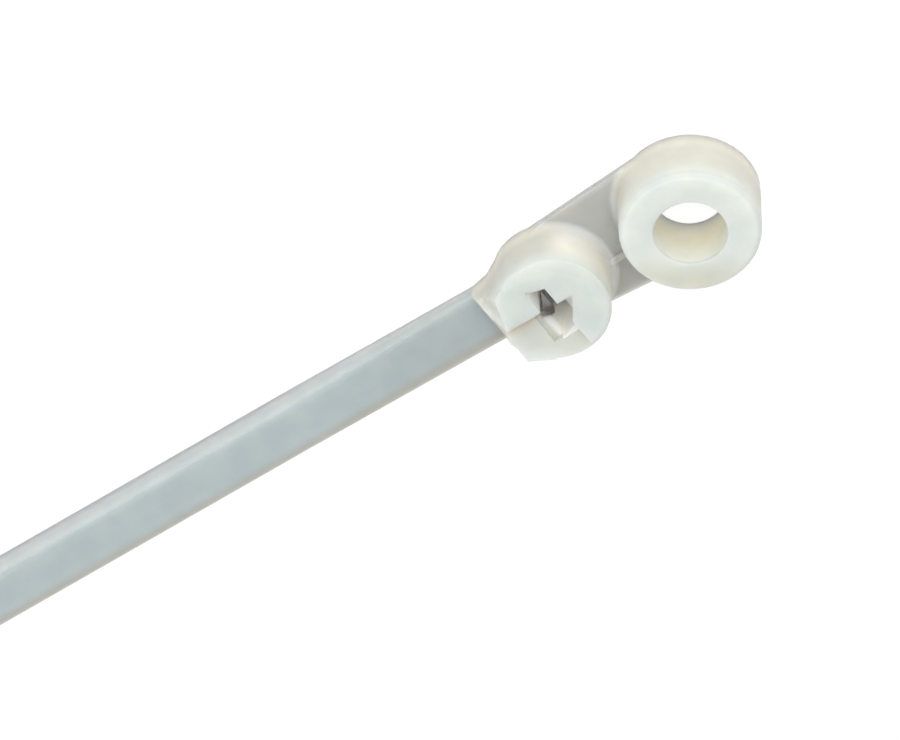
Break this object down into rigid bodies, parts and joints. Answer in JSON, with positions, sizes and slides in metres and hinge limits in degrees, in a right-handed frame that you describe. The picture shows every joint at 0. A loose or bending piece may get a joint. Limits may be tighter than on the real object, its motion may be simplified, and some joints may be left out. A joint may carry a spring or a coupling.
{
  "type": "screw-mount cable tie",
  "caption": "Self-locking nylon cable tie with a round locking head, a steel barb and a screw ring that fixes it to a panel.",
  "frame": {"origin": "on the screw hole's axis, at the flat back that lies against the panel", "axes": "+Z along the screw hole towards the screw's head, +X away from the strap, +Y across the strap"},
  "size_m": [0.186, 0.0106, 0.0052],
  "materials": {
    "nylon": "natural translucent nylon, satin",
    "barb_steel": "dull stainless strip"
  },
  "bodies": {
    "root": {"tie_body": "nylon", "locking_barb": "barb_steel"}
  },
  "joints": []
}
